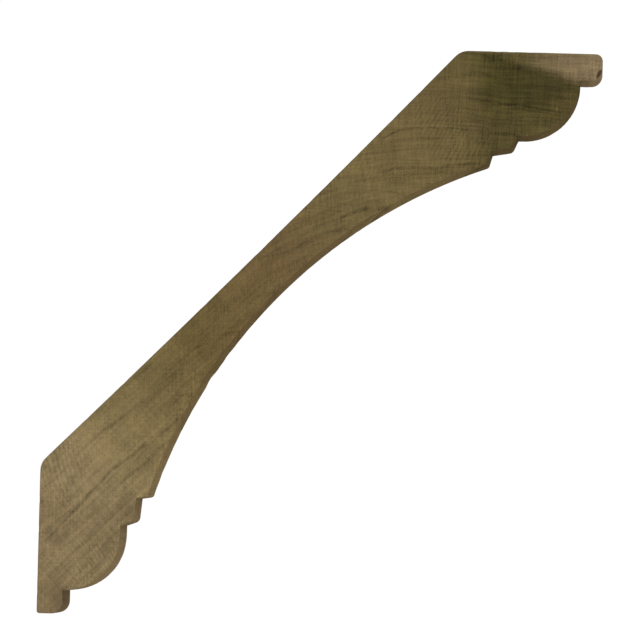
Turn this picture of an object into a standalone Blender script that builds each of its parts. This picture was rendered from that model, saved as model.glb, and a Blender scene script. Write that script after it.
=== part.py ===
"""Crown moulding: one milled length of solid wood for the corner between a wall and a ceiling.

Metres, +Z up. The section lies in the XZ plane and the moulding runs along Y. It rests on the wall
at X = 0 and on the ceiling above it. The origin is at the middle of the face that rests on the wall.
"""

import math

import bmesh
import bpy
from mathutils import Vector

# The whole moulding
LENGTH = 0.080
PROJECTION = 0.125
DROP = 0.130

# The flat faces that rest on the ceiling and on the wall, and the hollow back between them
CEILING_FACE = 0.0322
WALL_FACE = 0.0341
BACK_HOLLOW = 0.00055
BACK_EASING = 0.0042

# The cove
COVE_RADIUS = 0.1204
COVE_EDGE_EASING = 0.0009

# The ceiling edge, from its lip inwards: a run lies along the ceiling, and a rise goes down from it
CEILING_LIP = 0.0062
CEILING_LIP_RUN = 0.0050
CEILING_OVOLO_RADIUS = 0.0129
CEILING_SHELF_RUN = 0.0010
CEILING_STEP_RUN = 0.0012
CEILING_STEP_RISE = 0.0027
CEILING_TREAD_RUN = 0.0046
CEILING_TREAD_RISE = 0.0008
CEILING_SHOULDER_RUN = 0.0008
CEILING_SHOULDER_RISE = 0.0028

# The wall edge, from its lip upwards: a run lies along the wall, and a rise goes out from it
WALL_LIP = 0.0059
WALL_LIP_RUN = 0.0053
WALL_OVOLO_RADIUS = 0.0127
WALL_SHELF_RUN = 0.0023
WALL_STEP_RUN = 0.0011
WALL_STEP_RISE = 0.0029
WALL_TREAD_RUN = 0.0052
WALL_TREAD_RISE = 0.0005
WALL_SHOULDER_RUN = 0.0004
WALL_SHOULDER_RISE = 0.0025

# Easing radii of the lips and steps
CEILING_TIP_EASING = 0.0016
WALL_TIP_EASING = 0.0006
LIP_INNER_EASING = 0.0027
STEP_EASING = 0.0014

# How far a straight facet may stray from the curve that it follows
FACET_ERROR = 0.000012

# Corners of the outline that stay sharp when the wood is shaded
SHARP_ANGLE = math.radians(28)

# Unpainted wood: linear colour and roughness
WOOD_COLOUR = (0.150, 0.110, 0.052, 1.0)
WOOD_ROUGHNESS = 0.62

NAME = "crown_moulding"


def clear_scene():
    """Remove what the scene holds, so that each run starts from nothing."""
    for item in list(bpy.data.objects):
        bpy.data.objects.remove(item, do_unlink=True)


def polar(angle):
    """Unit vector at an angle."""
    return Vector((math.cos(angle), math.sin(angle)))


def arc(centre, radius, start, sweep):
    """Points along an arc, close enough together to stay within the facet error."""
    widest = 2 * math.acos(1 - FACET_ERROR / radius)
    count = max(2, math.ceil(abs(sweep) / widest))
    return [centre + radius * polar(start + sweep * i / count) for i in range(count + 1)]


def arc_between(start, end, radius, hollow_side):
    """Arc of a radius from one point to another, whose centre lies on a side: +1 left, -1 right."""
    chord = end - start
    to_centre = math.sqrt(radius ** 2 - (chord.length / 2) ** 2)
    across = Vector((-chord.y, chord.x)).normalized()
    centre = (start + end) / 2 + hollow_side * to_centre * across
    first = start - centre
    sweep = hollow_side * 2 * math.asin(chord.length / (2 * radius))
    return arc(centre, radius, math.atan2(first.y, first.x), sweep)


def bowed(start, end, height, hollow_side):
    """Arc between two points that strays from the straight line by a height at its middle."""
    half_chord = (end - start).length / 2
    radius = (half_chord ** 2 + height ** 2) / (2 * height)
    return arc_between(start, end, radius, hollow_side)


def eased(before, corner, after, radius):
    """Corner between two neighbours, rounded to a radius."""
    to_before = (before - corner).normalized()
    to_after = (after - corner).normalized()
    half_angle = to_before.angle(to_after) / 2
    centre = corner + (to_before + to_after).normalized() * radius / math.sin(half_angle)
    first = corner + to_before * radius / math.tan(half_angle) - centre
    last = corner + to_after * radius / math.tan(half_angle) - centre
    sweep = math.copysign(math.pi - 2 * half_angle, first.x * last.y - first.y * last.x)
    return arc(centre, radius, math.atan2(first.y, first.x), sweep)


def ease_corners(corners):
    """Closed outline of (point, easing radius) pairs, as plain points."""
    points = []
    for index, (corner, radius) in enumerate(corners):
        if radius:
            before = corners[index - 1][0]
            after = corners[(index + 1) % len(corners)][0]
            points += eased(before, corner, after, radius)
        else:
            points.append(corner)
    return points


def edge(lip, lip_run, tip_easing, ovolo, shelf, steps):
    """Corners of one edge, from its outer end to the cove, each with its easing radius.

    A point's first number is its run in from the outer end, and its second is its height above the
    face that rests on the wall or the ceiling. The steps are a riser, a tread and a shoulder.
    """
    corners = [((0, 0), tip_easing), ((0, lip), LIP_INNER_EASING)]
    quarter_round = arc(Vector((lip_run + ovolo, lip)), ovolo, math.pi, -math.pi / 2)
    corners += [(point, 0) for point in quarter_round]
    foot = Vector((lip_run + ovolo + shelf, lip + ovolo))
    riser, tread, shoulder = (Vector(step) for step in steps)
    corners += [
        (foot, 0),
        (foot + riser, STEP_EASING),
        (foot + riser + tread, 0),
        (foot + riser + tread + shoulder, COVE_EDGE_EASING),
    ]
    return [(Vector(point), radius) for point, radius in corners]


def section():
    """Outline of the moulding in the corner of the room: X out from the wall, Y down from the ceiling."""
    ceiling_edge = edge(
        CEILING_LIP, CEILING_LIP_RUN, CEILING_TIP_EASING, CEILING_OVOLO_RADIUS, CEILING_SHELF_RUN,
        [(CEILING_STEP_RUN, CEILING_STEP_RISE), (CEILING_TREAD_RUN, CEILING_TREAD_RISE),
         (CEILING_SHOULDER_RUN, CEILING_SHOULDER_RISE)])
    wall_edge = edge(
        WALL_LIP, WALL_LIP_RUN, WALL_TIP_EASING, WALL_OVOLO_RADIUS, WALL_SHELF_RUN,
        [(WALL_STEP_RUN, WALL_STEP_RISE), (WALL_TREAD_RUN, WALL_TREAD_RISE),
         (WALL_SHOULDER_RUN, WALL_SHOULDER_RISE)])
    ceiling_side = [(Vector((PROJECTION - p.x, -p.y)), radius) for p, radius in ceiling_edge]
    wall_side = [(Vector((p.y, p.x - DROP)), radius) for p, radius in reversed(wall_edge)]

    cove = arc_between(ceiling_side[-1][0], wall_side[0][0], COVE_RADIUS, 1)
    wall_heel = Vector((0, WALL_FACE - DROP))
    ceiling_heel = Vector((PROJECTION - CEILING_FACE, 0))
    back = bowed(wall_heel, ceiling_heel, BACK_HOLLOW, 1)
    return ease_corners(
        ceiling_side
        + [(point, 0) for point in cove[1:-1]]
        + wall_side
        + [(wall_heel, BACK_EASING)]
        + [(point, 0) for point in back[1:-1]]
        + [(ceiling_heel, BACK_EASING)])


def outline_curve(points, length):
    """Flat closed outline, filled and drawn out to a length."""
    curve = bpy.data.curves.new(NAME + "_outline", "CURVE")
    curve.dimensions = "2D"
    curve.fill_mode = "BOTH"
    curve.extrude = length / 2
    spline = curve.splines.new("POLY")
    spline.points.add(len(points) - 1)
    for spline_point, point in zip(spline.points, points):
        spline_point.co = (point.x, point.y, 0, 1)
    spline.use_cyclic_u = True
    return bpy.data.objects.new(curve.name, curve)


def solid_from_curve(guide, name, collection):
    """Closed mesh made from a curve object, which it replaces."""
    collection.objects.link(guide)
    bpy.context.view_layer.update()
    graph = bpy.context.evaluated_depsgraph_get()
    mesh = bpy.data.meshes.new_from_object(guide.evaluated_get(graph))
    shape = bmesh.new()
    shape.from_mesh(mesh)
    bmesh.ops.remove_doubles(shape, verts=shape.verts, dist=1e-6)
    bmesh.ops.recalc_face_normals(shape, faces=shape.faces)
    shape.to_mesh(mesh)
    shape.free()
    mesh.name = name
    solid = bpy.data.objects.new(name, mesh)
    solid.matrix_world = guide.matrix_world
    collection.objects.link(solid)
    bpy.data.objects.remove(guide, do_unlink=True)
    return solid


def wood_material():
    """Bare planed wood."""
    material = bpy.data.materials.new("bare_wood")
    material.use_nodes = True
    shader = material.node_tree.nodes["Principled BSDF"]
    shader.inputs["Base Color"].default_value = WOOD_COLOUR
    shader.inputs["Roughness"].default_value = WOOD_ROUGHNESS
    shader.inputs["Metallic"].default_value = 0.0
    material.diffuse_color = WOOD_COLOUR
    return material


def build():
    """Model the moulding in a collection of its own."""
    clear_scene()
    collection = bpy.data.collections.new(NAME)
    bpy.context.scene.collection.children.link(collection)

    guide = outline_curve(section(), LENGTH)
    guide.rotation_euler = (math.pi / 2, 0, 0)
    guide.location = (0, 0, DROP - WALL_FACE / 2)
    moulding = solid_from_curve(guide, NAME, collection)
    moulding.data.materials.clear()
    moulding.data.materials.append(wood_material())
    moulding.data.shade_smooth()
    moulding.data.set_sharp_from_angle(angle=SHARP_ANGLE)


build()
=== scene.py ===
import math
from collections import namedtuple

import bmesh
import bpy
from mathutils import Matrix, Vector, noise
from mathutils.geometry import delaunay_2d_cdt


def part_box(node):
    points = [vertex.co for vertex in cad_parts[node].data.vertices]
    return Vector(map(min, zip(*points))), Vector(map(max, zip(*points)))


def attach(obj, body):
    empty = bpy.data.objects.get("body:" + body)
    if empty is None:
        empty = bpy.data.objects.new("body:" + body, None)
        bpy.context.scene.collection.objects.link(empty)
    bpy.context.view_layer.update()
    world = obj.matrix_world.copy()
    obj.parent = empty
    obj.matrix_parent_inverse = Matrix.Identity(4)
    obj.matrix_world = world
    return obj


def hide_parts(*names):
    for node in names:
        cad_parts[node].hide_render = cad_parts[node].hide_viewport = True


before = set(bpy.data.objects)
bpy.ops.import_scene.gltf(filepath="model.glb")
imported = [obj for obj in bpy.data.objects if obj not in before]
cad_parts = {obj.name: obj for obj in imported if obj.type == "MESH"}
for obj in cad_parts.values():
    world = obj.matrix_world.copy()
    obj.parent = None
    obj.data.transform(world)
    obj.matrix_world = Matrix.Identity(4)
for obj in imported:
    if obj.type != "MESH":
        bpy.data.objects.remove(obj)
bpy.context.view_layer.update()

# The visible moulding is one piece of wood. Its outline is read from the solid in the frame, so it
# follows the solid, and this script adds the fine surface: eased and nicked arrises, the relief of
# the sawn ends, and the wood itself, which is one texture through the whole thickness. Lengths are
# in metres in the mesh and in millimetres in the wood's texture.

MM = 0.001
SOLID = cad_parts["crown_moulding"]
LOW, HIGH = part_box("crown_moulding")
NEAR_END, FAR_END = LOW.y, HIGH.y

# Mesh: spacing of the outline's points, the sharpest turn that is still a curve, spacing of the
# points on a sawn end and how far they keep from its edge, and the sharpest turn that shades smooth
OUTLINE_STEP = 1.1 * MM
CURVE_TURN = math.radians(25)
END_STEP = 0.62 * MM
END_MARGIN = 0.30 * MM
SMOOTH_TURN = math.radians(30)

# Rings of points along the length, which start close together at each end and grow apart
FIRST_RING = 0.18 * MM
RING_GROWTH = 1.42
WIDEST_RING = 9.0 * MM

# Points closer than these count as one, in the solid and in the sawn end's triangles
SAME_CORNER = 1e-6
SAME_POINT = 1e-7

# Arris of a sawn end: how much it is eased, and how far that reaches along the moulding
ARRIS = 0.16 * MM
ARRIS_REACH = 0.12 * MM

# Small nicks in the arris: spacing, the noise that they stand out of, depth and reach, and the
# layer of the noise at the near end and the far end
NICK_SPACING = 1.6 * MM
NICK_LEVEL = 0.28
NICK_DEPTH = 0.7 * MM
NICK_REACH = 0.9 * MM
NICK_LAYERS = (0, 40)

# Unevenness of the sawn ends: depth, spacing, and the layer of the noise at each end
END_WAVE = 0.07 * MM
END_WAVE_SPACING = 4.5 * MM
END_WAVE_LAYERS = (3.7, 21.3)

# Chip out of the near end at the lip that rests on the ceiling: middle and radii on the section in
# millimetres, depth, and how far it reaches along the moulding
CHIP_MIDDLE = (124.7, 107.5)
CHIP_RADII = (1.25, 2.1)
CHIP_DEPTH = 1.6 * MM
CHIP_REACH = 5.0 * MM

# Shallow dents along the cove and its edges: middle, radius and depth, in millimetres
DENTS = (((37.0, 37.35), 2.6, 0.26), ((40.8, 42.75), 1.6, 0.12), ((25.85, 15.8), 1.8, 0.10))

# Camera: the photograph's scale, roll and middle, and where the eye is, as places (x, z)
PIXEL = 0.2266 * MM
FRAME_PIXELS = 640
ROLL = math.radians(1.527)
LENS = 1430.0
SENSOR = 36.0
PICTURE_CENTRE = (61.57 * MM, 51.04 * MM)
EYE = (124.99 * MM, 5.04 * MM)
CLIP_START, CLIP_END = 0.1, 100.0

# Floor: how far it lies below the moulding, its size, colour and roughness
FLOOR_DROP = 0.24
FLOOR_SIZE = 30.0
FLOOR_COLOUR = (0.82, 0.82, 0.81, 1.0)
FLOOR_ROUGHNESS = 0.9

# Light: the heights between which the horizon's glow turns into the sky's, both glows, and two
# lamps, each with its place, size and watts, which aim at the moulding
HORIZON_HEIGHT, SKY_HEIGHT = 0.04, 0.30
HORIZON_GLOW, SKY_GLOW = 1.02, 0.62
KEY_LAMP = ((-1.6, -2.6, 1.8), 1.2, 36)
SIDE_LAMP = ((1.9, 0.30, 1.95), 0.5, 42)
LAMP_AIM = (0.06, 0.0, 0.05)


def srgb(red, green, blue):
    """Linear colour of an 8-bit screen colour."""
    def linear(value):
        value /= 255
        return value / 12.92 if value <= 0.04045 else ((value + 0.055) / 1.055) ** 2.4
    return (linear(red), linear(green), linear(blue), 1.0)


# Wood colours
TAN = srgb(130, 112, 80)
PALE = srgb(137, 119, 85)
STRAW = srgb(134, 116, 77)
OLIVE = srgb(105, 89, 52)
BROWN = srgb(107, 88, 56)
HONEY = srgb(119, 103, 65)
MOSS = srgb(100, 86, 52)
GREEN_HEART = srgb(67, 60, 26)
SAPWOOD = srgb(136, 117, 86)
PINK_TINT = srgb(124, 96, 70)
GREEN_TINT = srgb(98, 92, 52)
# Painted shade in the chip at the near end
CHIP_PAINTED_SHADE = srgb(62, 45, 32)
# Darker, redder colour of the long faces: partly their own tint, partly painted shade on the sides
LONG_TINT_AND_PAINTED_SHADE = srgb(98, 80, 62)


def is_near(y):
    """Whether a place along the moulding is in its near half."""
    return y < (NEAR_END + FAR_END) / 2


def outline_of(solid):
    """Corners of the solid's near end, anticlockwise, as 2D points (x, z)."""
    shape = bmesh.new()
    shape.from_mesh(solid.data)
    bmesh.ops.remove_doubles(shape, verts=shape.verts, dist=SAME_CORNER)
    cap = {
        face for face in shape.faces
        if all(abs(v.co.y - NEAR_END) < SAME_CORNER for v in face.verts)}
    rim = [e for e in shape.edges if sum(face in cap for face in e.link_faces) == 1]
    after = {}
    for e in rim:
        face = next(face for face in e.link_faces if face in cap)
        loop = next(loop for loop in face.loops if loop.edge == e)
        after[loop.vert] = loop.link_loop_next.vert
    start = min(after, key=lambda v: (round(v.co.x, 5), v.co.z))
    ordered = [start]
    while after[ordered[-1]] != start:
        ordered.append(after[ordered[-1]])
    points = [Vector((v.co.x, v.co.z)) for v in ordered]
    shape.free()
    area = sum(points[i - 1].cross(points[i]) for i in range(len(points)))
    return points if area > 0 else points[::-1]


def turn_at(points, index):
    """Change of direction at a corner of a closed outline."""
    before = points[index] - points[index - 1]
    after = points[(index + 1) % len(points)] - points[index]
    return abs(before.angle_signed(after))


def refine(points, step):
    """Closed outline with more points, whose curves stay curved and whose corners stay sharp."""
    count = len(points)
    soft = [turn_at(points, i) < CURVE_TURN for i in range(count)]
    fine = []
    for i in range(count):
        a, b = points[i], points[(i + 1) % count]
        length = (b - a).length
        pieces = max(1, math.ceil(length / step))
        slope_a = (b - points[i - 1]) if soft[i] else (b - a)
        slope_b = (points[(i + 2) % count] - a) if soft[(i + 1) % count] else (b - a)
        slope_a = slope_a.normalized() * length
        slope_b = slope_b.normalized() * length
        for k in range(pieces):
            t = k / pieces
            fine.append(
                a * (2 * t ** 3 - 3 * t ** 2 + 1) + slope_a * (t ** 3 - 2 * t ** 2 + t)
                + b * (3 * t ** 2 - 2 * t ** 3) + slope_b * (t ** 3 - t ** 2))
    return fine


def inward_normals(points):
    """Unit normals of an anticlockwise outline that point into the wood."""
    normals = []
    for i in range(len(points)):
        along = points[(i + 1) % len(points)] - points[i - 1]
        normals.append(Vector((-along.y, along.x)).normalized())
    return normals


def ring_places():
    """Places along the moulding: close together at the sawn ends and wider in between."""
    half = (FAR_END - NEAR_END) / 2
    places, step = [0.0], FIRST_RING
    while places[-1] + step < half:
        places.append(places[-1] + step)
        step = min(step * RING_GROWTH, WIDEST_RING)
    near = [NEAR_END + place for place in places]
    far = [FAR_END - place for place in reversed(places)]
    return near + far


def nicks(point, y, reach):
    """Depth of the small nicks along an arris of the sawn end, which die away from it."""
    layer = NICK_LAYERS[0] if is_near(y) else NICK_LAYERS[1]
    spot = Vector((point.x / NICK_SPACING, point.y / NICK_SPACING, layer))
    sharp = max(0.0, noise.noise(spot) - NICK_LEVEL)
    return NICK_DEPTH * sharp * math.exp(-reach / NICK_REACH)


def dents(point):
    """Depth of the shallow dents that run along the cove."""
    total = 0.0
    for (x, z), radius, depth in DENTS:
        far = (point - Vector((x * MM, z * MM))).length / (radius * MM)
        if far < 1:
            total += depth * MM * (1 - far ** 2) ** 2
    return total


def chip(x, z):
    """Depth of the chip out of the near end."""
    across = (x / MM - CHIP_MIDDLE[0]) / CHIP_RADII[0]
    up = (z / MM - CHIP_MIDDLE[1]) / CHIP_RADII[1]
    return CHIP_DEPTH * math.sqrt(max(0.0, 1 - across ** 2 - up ** 2))


def end_relief(x, z, y):
    """Depth of a sawn end's surface at a place, never negative."""
    layer = END_WAVE_LAYERS[0] if is_near(y) else END_WAVE_LAYERS[1]
    wave = 0.5 + 0.5 * noise.noise(Vector((x / END_WAVE_SPACING, z / END_WAVE_SPACING, layer)))
    return END_WAVE * max(0.0, wave) + (chip(x, z) if is_near(y) else 0.0)


def crossings(points, z):
    """Where a level line crosses a closed outline, from left to right."""
    places = []
    for i, b in enumerate(points):
        a = points[i - 1]
        if (a.y <= z) != (b.y <= z):
            places.append(a.x + (z - a.y) / (b.y - a.y) * (b.x - a.x))
    return sorted(places)


def grid_inside(points, step):
    """Staggered grid of points inside an outline, clear of its edge."""
    low_z, high_z = min(p.y for p in points), max(p.y for p in points)
    row_step = step * math.sqrt(3) / 2
    for row in range(int((high_z - low_z) / row_step)):
        z = low_z + (row + 0.5) * row_step
        places = crossings(points, z)
        for left, right in zip(places[::2], places[1::2]):
            x = left + END_MARGIN + (row % 2) * step / 2
            while x < right - END_MARGIN:
                yield Vector((x, z))
                x += step


def is_inside(points, spot):
    """Whether a spot lies inside a closed outline."""
    return sum(x < spot.x for x in crossings(points, spot.y)) % 2 == 1


def skin_vertices(outline, rings):
    """Points of the long faces, ring after ring, with the easing, nicks, dents and chip."""
    inward = inward_normals(outline)
    vertices = []
    for y in rings:
        reach = min(y - NEAR_END, FAR_END - y)
        easing = ARRIS * math.exp(-reach / ARRIS_REACH)
        chipped = max(0.0, 1 - reach / CHIP_REACH) if is_near(y) else 0.0
        for point, normal in zip(outline, inward):
            place = point + normal * (easing + nicks(point, y, reach) + dents(point))
            x, z = min(max(place.x, LOW.x), HIGH.x), min(max(place.y, LOW.z), HIGH.z)
            vertices.append((x, y + chip(x, z) * chipped, z))
    return vertices


def skin_faces(count, ring_count):
    """Faces that join each ring of points to the next."""
    faces = []
    for ring in range(ring_count - 1):
        first = ring * count
        for i in range(count):
            j = (i + 1) % count
            faces.append((first + i, first + j, first + count + j, first + count + i))
    return faces


def sawn_end(vertices, first, count, y, into):
    """Triangles of a sawn end. Its edge is the ring that starts at a given vertex, and the points
    inside it are added to the vertices."""
    rim = [Vector((x, z)) for x, _, z in vertices[first:first + count]]
    edges = [(i, (i + 1) % count) for i in range(count)]
    inner = list(grid_inside(rim, END_STEP))
    made = delaunay_2d_cdt(rim + inner, edges, [], 0, SAME_POINT, True)
    points, triangles, sources = made[0], made[2], made[3]
    numbers = []
    for point, source in zip(points, sources):
        rim_index = next((k for k in source if k < count), None)
        if rim_index is None:
            numbers.append(len(vertices))
            vertices.append((point.x, y + into * end_relief(point.x, point.y, y), point.y))
        else:
            numbers.append(first + rim_index)
    faces = []
    for triangle in triangles:
        middle = sum((points[k] for k in triangle), Vector((0, 0))) / 3
        if is_inside(rim, middle):
            faces.append(tuple(numbers[k] for k in triangle))
    return faces


def moulding_mesh():
    """The visible moulding: a skin of rings along the length, and a fine mesh on each sawn end."""
    outline = refine(outline_of(SOLID), OUTLINE_STEP)
    rings = ring_places()
    count = len(outline)
    vertices = skin_vertices(outline, rings)
    skin = skin_faces(count, len(rings))
    ends = sawn_end(vertices, 0, count, NEAR_END, 1)
    ends += sawn_end(vertices, (len(rings) - 1) * count, count, FAR_END, -1)
    mesh = bpy.data.meshes.new("crown_moulding_wood")
    mesh.from_pydata(vertices, [], skin + ends)
    mesh.update()
    shape = bmesh.new()
    shape.from_mesh(mesh)
    bmesh.ops.recalc_face_normals(shape, faces=shape.faces)
    shape.to_mesh(mesh)
    shape.free()
    mesh.materials.append(long_grain())
    mesh.materials.append(end_grain())
    for index, polygon in enumerate(mesh.polygons):
        polygon.material_index = 0 if index < len(skin) else 1
    mesh.shade_smooth()
    mesh.set_sharp_from_angle(angle=SMOOTH_TURN)
    return mesh


# Sockets of a Mix node that mixes colours
MIX_FACTOR, MIX_FROM, MIX_TO, MIX_RESULT = 0, 6, 7, 2

# Stretches a noise's level about its middle to about -1 to 1
NOISE_SPREAD = 2.6


class Graph:
    """Short way to add shader nodes to one tree and join them."""

    def __init__(self, tree):
        self.tree = tree

    def node(self, kind, inputs=(), **settings):
        """New node, with values or other nodes' outputs on its inputs."""
        made = self.tree.nodes.new("ShaderNode" + kind)
        for name, value in settings.items():
            setattr(made, name, value)
        for key, value in dict(inputs).items():
            if isinstance(value, bpy.types.NodeSocket):
                self.tree.links.new(value, made.inputs[key])
            else:
                made.inputs[key].default_value = value
        return made

    def math(self, operation, *values):
        """Result of a Math node."""
        return self.node("Math", enumerate(values), operation=operation).outputs[0]

    def add(self, *values):
        """Sum of values."""
        total = values[0]
        for value in values[1:]:
            total = self.math("ADD", total, value)
        return total

    def times(self, a, b):
        """Product of two values."""
        return self.math("MULTIPLY", a, b)

    def rest(self, value):
        """What a share leaves of 1."""
        return self.math("SUBTRACT", 1.0, value)

    def distance(self, a, b):
        """Distance between two values."""
        return self.math("ABSOLUTE", self.math("SUBTRACT", a, b))

    def clamp(self, value):
        """Value held between 0 and 1."""
        return self.node("Clamp", {0: value}).outputs[0]

    def ease(self, value, low, high):
        """0 below low and 1 above high, with a smooth step between."""
        return self.node(
            "MapRange", {"Value": value, "From Min": low, "From Max": high},
            interpolation_type="SMOOTHSTEP").outputs["Result"]

    def fall(self, value, low, high):
        """1 below low and 0 above high, with a smooth step between."""
        return self.rest(self.ease(value, low, high))

    def vector(self, x, y, z):
        """Vector from its three parts."""
        return self.node("CombineXYZ", {0: x, 1: y, 2: z}).outputs[0]

    def noise(self, vector, scale, detail=2.0, roughness=0.5):
        """Noise texture."""
        return self.node(
            "TexNoise",
            {"Vector": vector, "Scale": scale, "Detail": detail, "Roughness": roughness})

    def swing(self, vector, scale, detail=2.0, roughness=0.5):
        """Noise from about -1 to 1."""
        level = self.noise(vector, scale, detail, roughness).outputs["Fac"]
        return self.times(self.math("SUBTRACT", level, 0.5), NOISE_SPREAD)

    def uneven(self, vector, size, level, spread):
        """Share that strays by a spread from its level, in patches of a size."""
        return self.clamp(self.add(level, self.times(self.swing(vector, 1 / size), spread)))

    def dots(self, vector, size, levels):
        """Scattered dots: 1 where a noise stands above both levels, and 0 below them."""
        return self.ease(self.noise(vector, 1 / size, detail=1.0).outputs["Fac"], *levels)

    def blend(self, factor, a, b, blend_type="MIX"):
        """Mix of two colours."""
        inputs = {MIX_FACTOR: factor, MIX_FROM: a, MIX_TO: b}
        made = self.node("Mix", inputs, data_type="RGBA", blend_type=blend_type)
        return made.outputs[MIX_RESULT]

    def shade(self, colour, amount):
        """Colour made lighter or darker by a share, positive for lighter."""
        grey = self.add(1.0, amount)
        return self.blend(1.0, colour, self.vector(grey, grey, grey), "MULTIPLY")


# Growth rings. They run straight at the two ends of the section and bend between them, as the
# photograph shows. A ring is named by its distance, in millimetres, outwards from the bend point.
BEND_X, BEND_Z = 65.0, 74.95
LOWER_RISE = math.radians(44.5)
UPPER_RISE = math.radians(-2.5)
BEND_WIDTH = 40.0

# How the rings wander: broadly and finely over the section, each with its size and reach, and
# along the length, with the length of the wave and its reach
SWAY_SIZE, SWAY_REACH = 24.0, 2.6
RIPPLE_SIZE, RIPPLE_REACH = 7.0, 0.22
DRIFT_WAVE, DRIFT_REACH = 430.0, 1.8

# How much slower the wood changes along its length than across it
LENGTHWISE = 0.035

# Faint growth rings all over the section: place, half the thickness of the dark line, and how dark
# it is
GROWTH_LINES = (
    (-38.0, 0.5, 0.10), (-31.0, 0.6, 0.08), (-24.5, 0.6, 0.07), (-17.5, 0.8, 0.07),
    (0.0, 0.7, 0.06), (7.3, 0.7, 0.06), (12.0, 0.7, 0.07), (22.0, 0.6, 0.06),
    (42.5, 0.7, 0.08), (49.0, 0.6, 0.10),
)

# Rings that show clearly, as points (x, z) from left to right, with half the thickness of the line
# and how dark it is
TRACES = (
    (((0.6, -1.0), (3.8, 1.8), (8.8, 7.4), (13.0, 12.3), (17.0, 16.4), (20.8, 19.3),
      (23.7, 21.6)), 0.62, 0.36),
    (((25.9, 23.7), (28.8, 25.6), (31.9, 28.4)), 0.8, 0.22),
    (((3.0, -1.5), (9.0, 4.5), (18.0, 13.0), (24.0, 18.0)), 1.6, 0.12),
    (((14.1, 24.7), (17.4, 27.1), (20.1, 29.4), (22.3, 31.3)), 0.6, 0.24),
    (((32.9, 43.2), (35.1, 44.2), (37.3, 45.5)), 0.7, 0.24),
    (((40.9, 47.3), (42.3, 47.6), (44.1, 47.8)), 0.7, 0.30),
    (((45.1, 52.1), (48.4, 54.5), (50.6, 56.1), (52.6, 57.5)), 0.9, 0.20),
    (((48.1, 64.6), (50.4, 65.4), (52.4, 65.7), (56.9, 67.6), (59.8, 69.0)), 0.5, 0.24),
    (((66.0, 73.7), (67.6, 74.8), (69.2, 75.5), (72.1, 76.4), (74.8, 76.6), (78.2, 77.5)),
     0.9, 0.40),
    (((64.5, 71.2), (67.7, 71.7), (71.1, 72.7), (74.2, 75.1)), 0.6, 0.26),
    (((68.6, 79.9), (72.0, 80.2), (75.4, 80.8), (79.9, 80.2)), 0.6, 0.20),
    (((75.1, 92.3), (77.7, 93.8), (80.7, 94.8), (86.3, 95.2), (95.8, 94.9), (99.3, 94.6),
      (107.2, 94.0)), 0.6, 0.36),
    (((88.4, 102.2), (95.2, 102.2), (98.6, 101.9)), 0.5, 0.24),
    (((99.8, 100.7), (106.6, 100.9), (111.1, 100.1), (114.5, 99.8), (119.5, 99.5)), 0.5, 0.44),
    (((101.0, 99.6), (106.6, 99.9), (113.0, 99.2)), 0.5, 0.18),
    (((75.9, 85.1), (78.6, 86.0), (82.5, 86.2), (86.6, 86.1), (92.2, 86.9), (99.0, 87.8)),
     0.7, 0.36),
    (((87.6, 106.7), (98.9, 107.5), (103.0, 105.5), (111.0, 105.5), (119.4, 104.9)), 1.2, 0.24),
    (((98.4, 111.3), (104.1, 109.9), (108.6, 109.1), (113.2, 108.3), (117.8, 106.4),
      (122.0, 104.6)), 2.0, 0.24),
)

# Clear rings: the part of the plane that their curves cover, how far they fade out past their ends
# and start to fade before them, and how finely they wander
TRACE_WIDTH = 130.0
TRACE_FOOT, TRACE_HEIGHT = -20.0, 140.0
TRACE_FADE, TRACE_FULL = 1.6, 1.2
TRACE_RIPPLE_SIZE, TRACE_RIPPLE_REACH = 2.4, 0.28

# How unevenly the faint rings and the clear rings show: size of the patches, level and spread
FAINT_PATCHES = (11.0, 0.7, 0.9)
CLEAR_PATCHES = (2.0, 0.75, 1.1)

# Broad colour of the wood, from the foot of the wall edge (0) to the tip of the ceiling edge (1),
# how far it wanders, and the size of that
BROAD_COLOURS = (
    (0.02, TAN), (0.16, PALE), (0.25, STRAW), (0.37, OLIVE), (0.53, BROWN), (0.66, HONEY),
    (0.82, MOSS),
)
BROAD_SIZE, BROAD_REACH = 30.0, 0.03

# Pale sapwood at the tip. Its lower limit slopes down outwards, and it fades in across that limit
# and outwards. The limit wanders.
SAP_X, SAP_HEIGHT, SAP_SLOPE = 99.5, 110.7, -0.264
SAP_EDGE = (-3.2, 0.2)
SAP_START = (104.0, 119.0)
LIMIT_SIZE, LIMIT_REACH = 9.0, 2.4

# Green heart below the sapwood: where it fades in outwards, and its strength, which changes below
# the sapwood's limit, deep below it and towards the tip, each with its range and amount
HEART_START = (92.0, 101.0)
HEART_STRENGTH = 0.25
HEART_TOP, HEART_TOP_CHANGE = (-3.0, -0.5), 0.70
HEART_FOOT, HEART_FOOT_CHANGE = (5.0, 16.0), -0.34
HEART_TIP, HEART_TIP_CHANGE = (105.0, 116.0), -0.20

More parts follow.
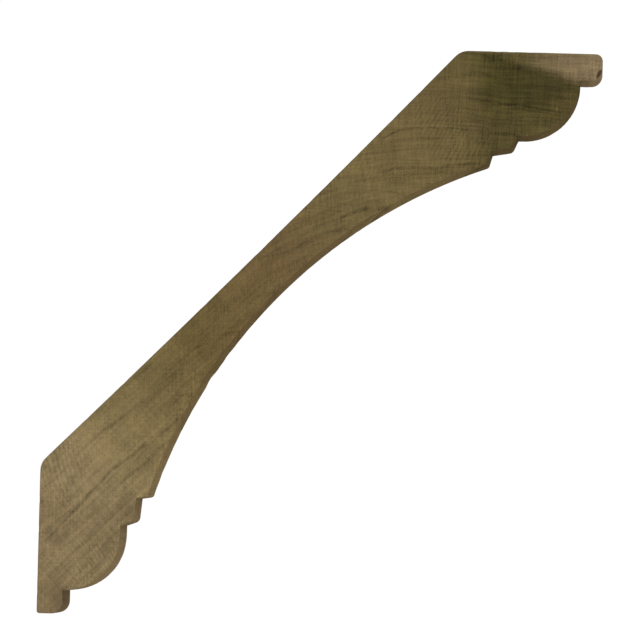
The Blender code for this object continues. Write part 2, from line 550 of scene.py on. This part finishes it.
# Broad darker and lighter patches of the wood's colour, and one painted shadow: middle, radii, and
# how much lighter or darker. The painted shadow is the small dark patch at the side of the wall
# lip, under the ovolo.
TONE_PATCHES_AND_LIP_SHADOW = (
    ((66.5, 78.5), (11.0, 8.0), -0.19), ((28.0, 34.0), (10.0, 10.0), -0.15),
    ((16.5, 2.0), (9.0, 9.0), -0.18), ((108.8, 104.6), (12.0, 5.0), -0.22),
    ((121.0, 109.7), (8.0, 6.0), -0.10), ((52.0, 66.0), (8.0, 6.0), -0.06),
    ((11.0, 16.0), (10.0, 8.0), 0.05), ((2.0, -14.0), (10.0, 8.0), -0.05),
    ((15.5, 29.0), (9.0, 7.0), -0.14), ((113.0, 111.3), (10.0, 3.5), -0.16),
    ((61.0, 70.5), (8.0, 6.0), -0.10), ((4.2, 4.0), (7.0, 6.0), -0.14),
    ((114.0, 97.2), (8.0, 5.0), 0.18), ((35.5, 47.0), (7.0, 5.0), -0.06),
    ((92.2, 99.0), (6.0, 5.0), -0.10), ((10.8, 14.5), (6.0, 5.0), -0.05),
    # Painted shadow: the dark patch at (5.3, -13.9) darkens the side of the wall lip, where the
    # ovolo above shades it
    ((5.3, -13.9), (3.2, 4.5), -0.28), ((34.5, 32.5), (4.0, 6.0), 0.20),
    ((20.0, 8.2), (3.5, 4.0), -0.22), ((24.3, 18.3), (3.5, 5.0), -0.16),
)


class Wood:
    """The wood as a solid: where the growth rings lie, and its colour before any surface finish."""

    def __init__(self, g):
        place = g.node("TexCoord").outputs["Object"]
        scaled = g.node("VectorMath", {0: place, 3: 1 / MM}, operation="SCALE").outputs[0]
        self.g = g
        self.x, self.y, self.z = g.node("SeparateXYZ", {0: scaled}).outputs
        self.slow = self.lengthwise(LENGTHWISE)
        middle = (0.5, 0.5, 0.5)
        warp = g.node("VectorMath", {
            0: g.noise(self.slow, 1 / SWAY_SIZE).outputs["Color"], 1: middle}, operation="SUBTRACT")
        sway = g.node("SeparateXYZ", {0: warp.outputs[0]})
        self.across_x = g.add(self.x, -BEND_X, g.times(sway.outputs[0], SWAY_REACH))
        self.across_z = g.add(self.z, -BEND_Z, g.times(sway.outputs[2], SWAY_REACH))
        lower = self.outward(LOWER_RISE)
        upper = self.outward(UPPER_RISE)
        ripple = g.times(g.swing(self.slow, 1 / RIPPLE_SIZE), RIPPLE_REACH)
        rings = g.math("SMOOTH_MAX", lower, upper, BEND_WIDTH)
        self.ring = g.add(rings, ripple, self.drift())
        share = g.clamp(g.add(0.5, g.times(g.math("SUBTRACT", lower, upper), 0.5 / BEND_WIDTH)))
        self.tangent = g.add(
            g.times(share, self.sideways(LOWER_RISE)),
            g.times(g.rest(share), self.sideways(UPPER_RISE)))
        self.trace_z = g.add(
            self.z, self.drift(),
            g.times(g.swing(self.slow, 1 / TRACE_RIPPLE_SIZE), TRACE_RIPPLE_REACH))
        self.sap, self.heart = self.zones()

    def lengthwise(self, slowness):
        """Place in the wood for a pattern that is drawn out along the length."""
        return self.g.vector(self.x, self.g.times(self.y, slowness), self.z)

    def section(self, layer):
        """Place on the section, on a layer of its own."""
        return self.g.vector(self.x, layer, self.z)

    def outward(self, rise):
        """Distance from the bend point across rings that rise at an angle."""
        g = self.g
        return g.add(
            g.times(self.across_x, -math.sin(rise)), g.times(self.across_z, math.cos(rise)))

    def sideways(self, rise):
        """Distance from the bend point along rings that rise at an angle."""
        g = self.g
        return g.add(
            g.times(self.across_x, math.cos(rise)), g.times(self.across_z, math.sin(rise)))

    def drift(self):
        """How the rings wander along the length. It is nothing at the near end."""
        g = self.g
        from_end = g.math("SUBTRACT", self.y, NEAR_END / MM)
        return g.times(g.math("SINE", g.times(from_end, 2 * math.pi / DRIFT_WAVE)), DRIFT_REACH)

    def spot(self, middle, radii):
        """Soft spot on the section: 1 in its middle and 0 outside its radii."""
        g = self.g
        x = g.times(g.math("SUBTRACT", self.x, middle[0]), 1 / radii[0])
        z = g.times(g.math("SUBTRACT", self.z, middle[1]), 1 / radii[1])
        return g.fall(g.add(g.times(x, x), g.times(z, z)), 0.0, 1.0)

    def spots(self, start, marks):
        """A value with soft spots added to it, each with its middle, radii and strength."""
        g = self.g
        total = start
        for middle, radii, strength in marks:
            total = g.add(g.times(self.spot(middle, radii), strength), total)
        return total

    def trace(self, points, width, dark):
        """Darkness of one clear ring, which fades out past its two ends."""
        g = self.g
        curve = g.node("FloatCurve", {"Value": g.times(self.x, 1 / TRACE_WIDTH)})
        line = curve.mapping.curves[0]
        heights = [(z - TRACE_FOOT) / TRACE_HEIGHT for _, z in points]
        line.points[0].location = (0.0, heights[0])
        line.points[1].location = (1.0, heights[-1])
        for (x, _), height in zip(points, heights):
            line.points.new(x / TRACE_WIDTH, height)
        curve.mapping.update()
        height = g.add(g.times(curve.outputs[0], TRACE_HEIGHT), TRACE_FOOT)
        (first_x, first_z), (last_x, last_z) = points[0], points[-1]
        tilt = math.cos(math.atan2(last_z - first_z, last_x - first_x))
        off = g.times(g.distance(self.trace_z, height), tilt)
        span = g.times(
            g.ease(self.x, first_x - TRACE_FADE, first_x + TRACE_FULL),
            g.fall(self.x, last_x - TRACE_FULL, last_x + TRACE_FADE))
        return g.times(g.times(g.fall(off, 0.0, width), span), dark)

    def growth(self):
        """Darkness of the growth rings: thin uneven lines."""
        g = self.g
        faint = 0.0
        for place, width, dark in GROWTH_LINES:
            faint = g.add(g.times(g.fall(g.distance(self.ring, place), 0.0, width), dark), faint)
        clear = 0.0
        for points, width, dark in TRACES:
            clear = g.add(self.trace(points, width, dark), clear)
        faint = g.times(faint, g.uneven(self.slow, *FAINT_PATCHES))
        clear = g.times(clear, g.uneven(self.slow, *CLEAR_PATCHES))
        return g.clamp(g.add(faint, clear))

    def zones(self):
        """Shares of pale sapwood and of green heart."""
        g = self.g
        edge = g.add(self.x, g.times(g.swing(self.slow, 1 / LIMIT_SIZE), LIMIT_REACH))
        slope = g.times(g.math("SUBTRACT", self.x, SAP_X), SAP_SLOPE)
        below = g.add(SAP_HEIGHT, slope, g.times(self.trace_z, -1.0))
        sap = g.times(g.fall(below, *SAP_EDGE), g.ease(edge, *SAP_START))
        strength = g.add(
            HEART_STRENGTH,
            g.times(g.ease(below, *HEART_TOP), HEART_TOP_CHANGE),
            g.times(g.ease(below, *HEART_FOOT), HEART_FOOT_CHANGE),
            g.times(g.ease(self.x, *HEART_TIP), HEART_TIP_CHANGE))
        heart = g.times(g.times(g.ease(edge, *HEART_START), strength), g.rest(sap))
        return sap, heart

    def colour(self):
        """Broad colour: pale at the wall edge, then olive and brown, green heart and sapwood, with
        darker and lighter patches, one of them painted shadow at the side of the wall lip.
        """
        g = self.g
        span = (HIGH.x - LOW.x + HIGH.z - LOW.z) / MM
        up = g.times(g.add(self.x, self.z, -(LOW.x + LOW.z) / MM), 1 / span)
        up = g.add(up, g.times(g.swing(self.slow, 1 / BROAD_SIZE), BROAD_REACH))
        ramp = g.node("ValToRGB", {0: up})
        elements = ramp.color_ramp.elements
        elements[0].position, elements[0].color = BROAD_COLOURS[0]
        elements[1].position, elements[1].color = BROAD_COLOURS[-1]
        for position, colour in BROAD_COLOURS[1:-1]:
            elements.new(position).color = colour
        hearted = g.blend(self.heart, ramp.outputs["Color"], GREEN_HEART)
        # The patches include painted shadow at the side of the wall lip, on the sawn end and the
        # long face alike
        return g.shade(g.blend(self.sap, hearted, SAPWOOD), self.spots(0.0, TONE_PATCHES_AND_LIP_SHADOW))


# Patterns of the wood. A stretched one has a size along the growth rings or level and one across
# them or upright, a plain one has one size, and a long one has a size across the length and how
# much slower it changes along it. Sizes are in millimetres. The strength is how much lighter, or
# darker when negative, it makes the wood.
Stretched = namedtuple("Stretched", "width height strength")
Plain = namedtuple("Plain", "size strength")
Long = namedtuple("Long", "size slowness strength")

# Patterns of the sawn end, with the layers that keep them apart from each other
RAYS = Stretched(0.7, 12.0, 0.16)
FINE_RINGS = Stretched(9.0, 0.7, 0.24)
RING_BANDS = Stretched(26.0, 2.6, 0.20)
UPRIGHT_WEAVE = Stretched(0.40, 5.0, 0.30)
LEVEL_WEAVE = Stretched(5.0, 0.45, 0.22)
WEAVE_PATCHES = (9.0, 0.65, 0.7)
END_PORES = Plain(0.30, 0.34)
END_PORE_ROUGHNESS = 0.6
END_CLOUDS = Plain(5.0, 0.13)
END_TINT = Plain(13.0, 0.16)
END_SPECKS = Plain(0.55, -0.14)
END_SPECK_LEVELS = (0.68, 0.74)
LEVEL_LAYER, SPECK_LAYER, SAW_LAYER, TINT_LAYER, WEAVE_LAYER = 3.0, 5.0, 7.0, 9.0, 15.0

# How strongly all of them show, and how much more they do in the green heart
END_CONTRAST, HEART_CONTRAST = 1.18, 0.6

# The saw's curved marks: radius, height of their axis, pitch, how strongly they show, how they
# wander and come and go, and where they show most, as middle, radii and strength
SAW_RADIUS = 100.0
SAW_AXIS_HEIGHT = 49.0
SAW_PITCH = 1.1
SAW_STRENGTH = 0.11
SAW_SWAY_SIZE, SAW_SWAY = 5.0, 0.7
SAW_BREAKS = (2.6, 0.6, 0.9)
SAW_EVERYWHERE = 0.22
SAW_PATCHES = (
    ((86.9, 98.3), (7.0, 7.0), 0.9), ((93.5, 90.4), (8.0, 8.0), 1.0),
    ((4.5, 17.0), (9.0, 9.0), 0.9), ((14.2, -4.7), (9.0, 9.0), 0.5),
    ((71.0, 84.0), (7.0, 7.0), 0.4),
)

# Single marks on the sawn end: middle, radii, and how much lighter or darker
FLECKS = (
    ((114.8, 100.2), (0.35, 0.9), 0.50), ((98.7, 81.4), (0.7, 0.35), -0.35),
    ((20.9, 19.4), (0.7, 0.5), -0.20),
)

# Painted shade in the chip at the near end: how deep along the moulding it reaches, where its edge
# lies in the spot, and its share
CHIP_SHADE_DEPTH = (2.0, 3.0)
CHIP_SHADE_EDGE = (0.0, 0.25)
CHIP_SHADE_SHARE = 0.85

# Finish of the sawn end: roughness and how much it varies, gloss, depth of the fine relief, and
# what each pattern adds to the relief
END_ROUGHNESS, END_ROUGHNESS_SPREAD = 0.80, 0.05
END_GLOSS = 0.12
END_RELIEF_STRENGTH, END_RELIEF_DEPTH = 0.35, 0.06 * MM
SAW_RELIEF, END_PORE_RELIEF, RAY_RELIEF, FINE_RING_RELIEF = 0.5, 0.5, 0.25, 0.25

# Patterns of the long faces
FIBRES = Long(0.34, 0.015, 0.24)
FIBRE_ROUGHNESS = 0.7
STREAKS = Long(1.8, 0.010, 0.20)
STREAK_ROUGHNESS = 0.6
LONG_PORES = Long(0.24, 0.06, -0.20)
LONG_PORE_LEVELS = (0.60, 0.68)
LONG_CLOUDS = Long(16.0, 0.4, 0.10)

# Marks of the moulding knives across the length: pitch, strength, and how they wander
KNIFE_PITCH = 1.7
KNIFE_STRENGTH = 0.012
KNIFE_SWAY_SIZE, KNIFE_SWAY = 40.0, 1.2

# Finish of the long faces: share of their darker, redder colour, which is partly the milled faces'
# own tint and partly painted shade, roughness and how much fibres and pores add to it, depth of the
# fine relief, and what each pattern adds to the relief
LONG_TINT_AND_SHADE_SHARE = 0.35
LONG_ROUGHNESS, FIBRES_ADD, PORES_ADD = 0.60, 0.05, 0.1
LONG_RELIEF_STRENGTH, LONG_RELIEF_DEPTH = 0.3, 0.05 * MM
FIBRE_RELIEF, LONG_PORE_RELIEF, KNIFE_RELIEF = 0.3, -0.4, 0.35


def new_material(name):
    """Material with nodes, and its shader."""
    material = bpy.data.materials.new(name)
    material.use_nodes = True
    return material, material.node_tree.nodes["Principled BSDF"]


def join_shader(g, shader, colour, roughness, bump):
    """Feed a shader with its colour, roughness and fine relief."""
    g.tree.links.new(colour, shader.inputs["Base Color"])
    g.tree.links.new(roughness, shader.inputs["Roughness"])
    g.tree.links.new(bump.outputs[0], shader.inputs["Normal"])


def saw_marks(g, wood):
    """The saw's curved marks, from about -1 to 1, stronger in some places."""
    height = g.math("SUBTRACT", wood.z, SAW_AXIS_HEIGHT)
    bow = g.math("SQRT", g.math("SUBTRACT", SAW_RADIUS ** 2, g.times(height, height)))
    phase = g.add(wood.x, bow, g.times(g.swing(wood.slow, 1 / SAW_SWAY_SIZE), SAW_SWAY))
    wave = g.math("SINE", g.times(phase, 2 * math.pi / SAW_PITCH))
    shown = g.times(wave, wood.spots(SAW_EVERYWHERE, SAW_PATCHES))
    return g.times(shown, g.uneven(wood.section(SAW_LAYER), *SAW_BREAKS))


def weave(g, wood):
    """Fine upright and level threads in the sawn end, stronger in some places."""
    upright = g.swing(
        g.vector(g.times(wood.x, 1 / UPRIGHT_WEAVE.width), 0.0,
                 g.times(wood.z, 1 / UPRIGHT_WEAVE.height)), 1.0, detail=1.0)
    level = g.swing(
        g.vector(g.times(wood.x, 1 / LEVEL_WEAVE.width), LEVEL_LAYER,
                 g.times(wood.z, 1 / LEVEL_WEAVE.height)), 1.0, detail=1.0)
    threads = g.add(
        g.times(upright, UPRIGHT_WEAVE.strength), g.times(level, LEVEL_WEAVE.strength))
    return g.times(threads, g.uneven(wood.section(WEAVE_LAYER), *WEAVE_PATCHES))


def end_grain():
    """Sawn end: growth rings, rays across them, fine pores and the curved marks of the saw."""
    material, shader = new_material("sawn_end_grain")
    g = Graph(material.node_tree)
    wood = Wood(g)
    rays = g.swing(
        g.vector(g.times(wood.tangent, 1 / RAYS.width), g.times(wood.ring, 1 / RAYS.height), 0.0),
        1.0, detail=3.0)
    fine_rings = g.swing(
        g.vector(g.times(wood.tangent, 1 / FINE_RINGS.width),
                 g.times(wood.ring, 1 / FINE_RINGS.height), 0.0), 1.0, detail=3.0)
    bands = g.swing(
        g.vector(g.times(wood.tangent, 1 / RING_BANDS.width), 0.0,
                 g.times(wood.ring, 1 / RING_BANDS.height)), 1.0, detail=3.0)
    pores = g.swing(wood.section(0.0), 1 / END_PORES.size, roughness=END_PORE_ROUGHNESS)
    cloud = g.swing(wood.section(0.0), 1 / END_CLOUDS.size, detail=3.0)
    specks = g.dots(wood.section(SPECK_LAYER), END_SPECKS.size, END_SPECK_LEVELS)
    saw = saw_marks(g, wood)
    tone = g.add(
        g.times(rays, RAYS.strength), g.times(fine_rings, FINE_RINGS.strength),
        g.times(pores, END_PORES.strength), weave(g, wood), g.times(saw, SAW_STRENGTH),
        g.times(cloud, END_CLOUDS.strength), g.times(bands, RING_BANDS.strength),
        g.times(specks, END_SPECKS.strength))
    tone = g.times(tone, g.add(END_CONTRAST, g.times(wood.heart, HEART_CONTRAST)))
    tone = wood.spots(tone, FLECKS)

    tint = g.swing(wood.section(TINT_LAYER), 1 / END_TINT.size)
    colour = g.blend(g.clamp(g.times(tint, END_TINT.strength)), wood.colour(), PINK_TINT)
    colour = g.blend(g.clamp(g.times(tint, -END_TINT.strength)), colour, GREEN_TINT)
    colour = g.shade(colour, g.math("SUBTRACT", tone, wood.growth()))
    # Painted shade: the chip at the near end is darkened where it lies in shade
    near = g.fall(wood.y, *(NEAR_END / MM + depth for depth in CHIP_SHADE_DEPTH))
    chip_shade = g.ease(wood.spot(CHIP_MIDDLE, CHIP_RADII), *CHIP_SHADE_EDGE)
    colour = g.blend(g.times(g.times(chip_shade, near), CHIP_SHADE_SHARE), colour, CHIP_PAINTED_SHADE)

    relief = g.add(
        g.times(saw, SAW_RELIEF), g.times(pores, END_PORE_RELIEF), g.times(rays, RAY_RELIEF),
        g.times(fine_rings, FINE_RING_RELIEF))
    bump = g.node("Bump", {
        "Strength": END_RELIEF_STRENGTH, "Distance": END_RELIEF_DEPTH, "Height": relief})
    roughness = g.add(END_ROUGHNESS, g.times(pores, END_ROUGHNESS_SPREAD))
    join_shader(g, shader, colour, roughness, bump)
    shader.inputs["Specular IOR Level"].default_value = END_GLOSS
    return material


def long_grain():
    """Planed and moulded faces: fibres and pores, rings cut lengthwise, and knife marks."""
    material, shader = new_material("milled_long_grain")
    g = Graph(material.node_tree)
    wood = Wood(g)
    fibres = g.swing(
        wood.lengthwise(FIBRES.slowness), 1 / FIBRES.size, detail=3.0, roughness=FIBRE_ROUGHNESS)
    streaks = g.swing(
        wood.lengthwise(STREAKS.slowness), 1 / STREAKS.size, detail=3.0, roughness=STREAK_ROUGHNESS)
    pores = g.dots(wood.lengthwise(LONG_PORES.slowness), LONG_PORES.size, LONG_PORE_LEVELS)
    cloud = g.swing(wood.lengthwise(LONG_CLOUDS.slowness), 1 / LONG_CLOUDS.size, detail=3.0)
    place = g.add(wood.y, g.times(g.swing(wood.slow, 1 / KNIFE_SWAY_SIZE), KNIFE_SWAY))
    knife = g.math("SINE", g.times(place, 2 * math.pi / KNIFE_PITCH))
    tone = g.add(
        g.times(fibres, FIBRES.strength), g.times(streaks, STREAKS.strength),
        g.times(pores, LONG_PORES.strength), g.times(cloud, LONG_CLOUDS.strength),
        g.times(knife, KNIFE_STRENGTH))
    # Long faces made darker and redder: partly their own tint, partly painted shade
    colour = g.blend(LONG_TINT_AND_SHADE_SHARE, wood.colour(), LONG_TINT_AND_PAINTED_SHADE)
    colour = g.shade(colour, g.math("SUBTRACT", tone, wood.growth()))

    relief = g.add(
        g.times(fibres, FIBRE_RELIEF), g.times(pores, LONG_PORE_RELIEF),
        g.times(knife, KNIFE_RELIEF))
    bump = g.node("Bump", {
        "Strength": LONG_RELIEF_STRENGTH, "Distance": LONG_RELIEF_DEPTH, "Height": relief})
    roughness = g.add(LONG_ROUGHNESS, g.times(fibres, FIBRES_ADD), g.times(pores, PORES_ADD))
    join_shader(g, shader, colour, roughness, bump)
    shader.inputs["Specular IOR Level"].default_value = 0.0
    return material


def add_moulding():
    """The moulding, in place of the plain solid."""
    piece = bpy.data.objects.new("crown_moulding_wood", moulding_mesh())
    bpy.context.scene.collection.objects.link(piece)
    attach(piece, "root")
    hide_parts("crown_moulding")


def add_floor():
    """Plain pale floor below the moulding, which is held up as on its wall."""
    bpy.ops.mesh.primitive_plane_add(size=FLOOR_SIZE, location=(0, 0, LOW.z - FLOOR_DROP))
    floor = bpy.context.object
    floor.name = "pale_floor"
    material, shader = new_material("pale_floor")
    shader.inputs["Base Color"].default_value = FLOOR_COLOUR
    shader.inputs["Roughness"].default_value = FLOOR_ROUGHNESS
    floor.data.materials.append(material)


def add_surroundings():
    """Pale studio: white round the horizon and softer above it."""
    world = bpy.data.worlds.new("studio")
    world.use_nodes = True
    g = Graph(world.node_tree)
    direction = g.node("TexCoord").outputs["Generated"]
    height = g.node("SeparateXYZ", {0: direction}).outputs[2]
    glow = g.node("MapRange", {
        "Value": height, "From Min": HORIZON_HEIGHT, "From Max": SKY_HEIGHT,
        "To Min": HORIZON_GLOW, "To Max": SKY_GLOW}, interpolation_type="SMOOTHSTEP")
    background = world.node_tree.nodes["Background"]
    g.tree.links.new(glow.outputs["Result"], background.inputs["Strength"])
    background.inputs["Color"].default_value = (1.0, 1.0, 1.0, 1.0)
    bpy.context.scene.world = world


def add_lamp(name, place, size, watts):
    """Soft round lamp that aims at the moulding."""
    data = bpy.data.lights.new(name, "AREA")
    data.shape = "DISK"
    data.size = size
    data.energy = watts
    lamp = bpy.data.objects.new(name, data)
    lamp.location = place
    towards = Vector(LAMP_AIM) - Vector(place)
    lamp.rotation_euler = towards.to_track_quat("-Z", "Y").to_euler()
    bpy.context.scene.collection.objects.link(lamp)


def add_camera():
    """Almost square on to the near end, at the photograph's scale and roll."""
    distance = PIXEL * FRAME_PIXELS * LENS / SENSOR
    eye = Vector((EYE[0], NEAR_END - distance, EYE[1]))
    centre = Vector((PICTURE_CENTRE[0], NEAR_END, PICTURE_CENTRE[1]))
    forward = (centre - eye).normalized()
    upright = Vector((-math.sin(ROLL), 0, math.cos(ROLL)))
    right = forward.cross(upright).normalized()
    upright = right.cross(forward)
    data = bpy.data.cameras.new("camera")
    data.lens = LENS
    data.sensor_width = SENSOR
    data.clip_start = CLIP_START
    data.clip_end = CLIP_END
    camera = bpy.data.objects.new("camera", data)
    turned = Matrix((right, upright, -forward)).transposed().to_4x4()
    camera.matrix_world = Matrix.Translation(eye) @ turned
    bpy.context.scene.collection.objects.link(camera)
    bpy.context.scene.camera = camera


add_moulding()
add_floor()
add_surroundings()
add_lamp("key", *KEY_LAMP)
add_lamp("side", *SIDE_LAMP)
add_camera()
bpy.context.scene.view_settings.view_transform = "Standard"
